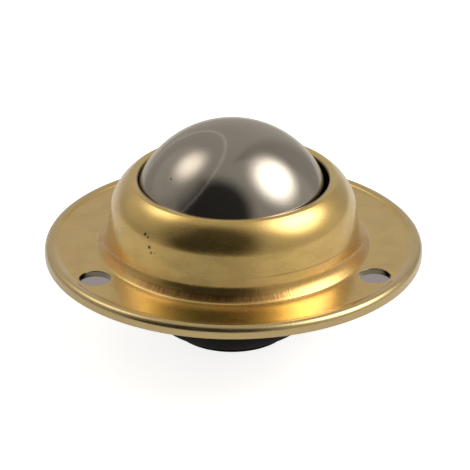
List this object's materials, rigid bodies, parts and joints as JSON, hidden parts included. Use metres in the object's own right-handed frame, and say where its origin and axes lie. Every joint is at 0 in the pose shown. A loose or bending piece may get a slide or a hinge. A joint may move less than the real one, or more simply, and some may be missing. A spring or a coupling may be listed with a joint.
{
  "type": "ball transfer unit",
  "caption": "Round flanged ball transfer unit: a pressed, domed housing with screw holes holds a steel load ball that rolls every way on small support balls in a hardened cup.",
  "frame": {"origin": "centre of the screw holes' circle, in the seating plane of the flange's turned-down rim", "axes": "+Z along the housing's axis, up out of the load ball; two screw holes towards -Y and one towards +Y"},
  "size_m": [0.0468, 0.0468, 0.0274],
  "materials": {
    "housing": "pressed steel sheet, zinc plated with a bright yellow passivate, satin polished, lightly scuffed",
    "cup": "hardened steel with a black oxide finish",
    "load_ball": "polished bearing steel with a fine satin haze",
    "support_balls": "polished bearing steel"
  },
  "bodies": {
    "housing": {"flange_housing": "housing", "bearing_cup": "cup"},
    "ball_bed": {"support_balls_row_1": "support_balls", "support_balls_row_2": "support_balls", "support_balls_row_3": "support_balls", "support_balls_row_4": "support_balls", "support_balls_row_5": "support_balls", "support_balls_row_6": "support_balls"},
    "load_ball": {"load_ball": "load_ball"}
  },
  "joints": [
    {"name": "bed_swivel", "type": "hinge", "parent": "housing", "child": "ball_bed", "pos_m": [-0.0002, 0, 0.0041], "axis": [0, 0, 1], "continuous": true},
    {"name": "ball_roll", "type": "hinge", "parent": "ball_bed", "child": "load_ball", "pos_m": [-0.0002, 0, 0.0041], "axis": [1, 0, 0], "continuous": true}
  ]
}
